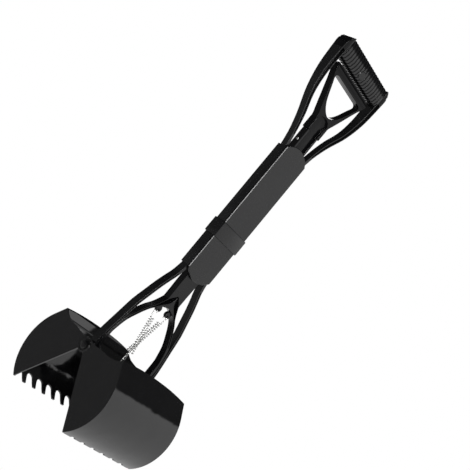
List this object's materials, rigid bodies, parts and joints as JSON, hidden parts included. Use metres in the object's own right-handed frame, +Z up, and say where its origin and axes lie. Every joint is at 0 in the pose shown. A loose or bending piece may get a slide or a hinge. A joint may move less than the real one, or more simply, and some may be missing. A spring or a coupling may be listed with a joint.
{
  "type": "pooper scooper",
  "caption": "Long-handled pet waste scooper with a squeeze handle, pull rod and two spring-closed toothed jaws.",
  "frame": {"origin": "middle of the ribbed grip, where a hand holds the scooper up; the hinge rod's middle is 0.5695 m straight below it", "axes": "+X along the hinge rod, from the picture's near end to its far end; +Z up the shaft, from the jaws to the grip; -Y the front, the side of the covers and of the grip's oval"},
  "size_m": [0.1632, 0.2081, 0.6904],
  "materials": {
    "jaw_plastic": "semi-gloss moulded",
    "black_plastic": "semi-gloss moulded",
    "black_nylon": "plain moulded",
    "grip_rubber": "satin, ribbed",
    "spring_steel": "bright zinc",
    "blackened_steel": "blackened"
  },
  "bodies": {
    "shaft": {"lower_housing": "black_plastic", "upper_housing": "black_plastic", "lower_cover": "black_plastic", "upper_cover": "black_plastic", "cover_screw_1": "blackened_steel", "cover_screw_2": "blackened_steel", "cover_screw_3": "blackened_steel", "cover_screw_4": "blackened_steel", "cover_screw_5": "blackened_steel", "cover_screw_6": "blackened_steel", "cover_screw_7": "blackened_steel", "cover_screw_8": "blackened_steel", "lower_rod_guide": "black_nylon", "upper_rod_guide": "black_nylon", "shaft_joiner_left": "black_nylon", "shaft_joiner_right": "black_nylon", "grip": "grip_rubber", "grip_medallion": "black_plastic", "hinge_rod": "blackened_steel", "rod_cap_left": "jaw_plastic", "rod_cap_right": "jaw_plastic", "washer_left": "black_nylon", "washer_right": "black_nylon", "spring_left": "spring_steel", "spring_right": "spring_steel"},
    "pull": {"pull_rod": "black_plastic", "squeeze_handle": "black_plastic", "handle_pin": "spring_steel", "cam_pin_left_front": "blackened_steel", "cam_pin_left_back": "blackened_steel", "cam_pin_right_front": "blackened_steel", "cam_pin_right_back": "blackened_steel"},
    "front_jaw": {"front_jaw": "jaw_plastic"},
    "rear_jaw": {"rear_jaw": "jaw_plastic"},
    "collar": {"collar": "black_plastic"}
  },
  "joints": [
    {"name": "handle_pull", "type": "slide", "parent": "shaft", "child": "pull", "axis": [0, 0, 1], "range_m": [-0.02, 0], "stiffness_N_per_m": 400, "springref_m": -0.06, "deforming": ["spring_left", "spring_right"]},
    {"name": "front_jaw_hinge", "type": "hinge", "parent": "shaft", "child": "front_jaw", "pos_m": [0, 0, -0.5695], "axis": [1, 0, 0], "range_deg": [0, 35.7]},
    {"name": "rear_jaw_hinge", "type": "hinge", "parent": "shaft", "child": "rear_jaw", "pos_m": [0, 0, -0.5695], "axis": [-1, 0, 0], "range_deg": [0, 35.7]},
    {"name": "collar_slide", "type": "slide", "parent": "shaft", "child": "collar", "axis": [0, 0, 1], "range_m": [0, 0.04]}
  ],
  "couplings": [
    {"joint": "front_jaw_hinge", "follows": "handle_pull", "rad_per_m": -31.153},
    {"joint": "rear_jaw_hinge", "follows": "handle_pull", "rad_per_m": -31.153}
  ]
}
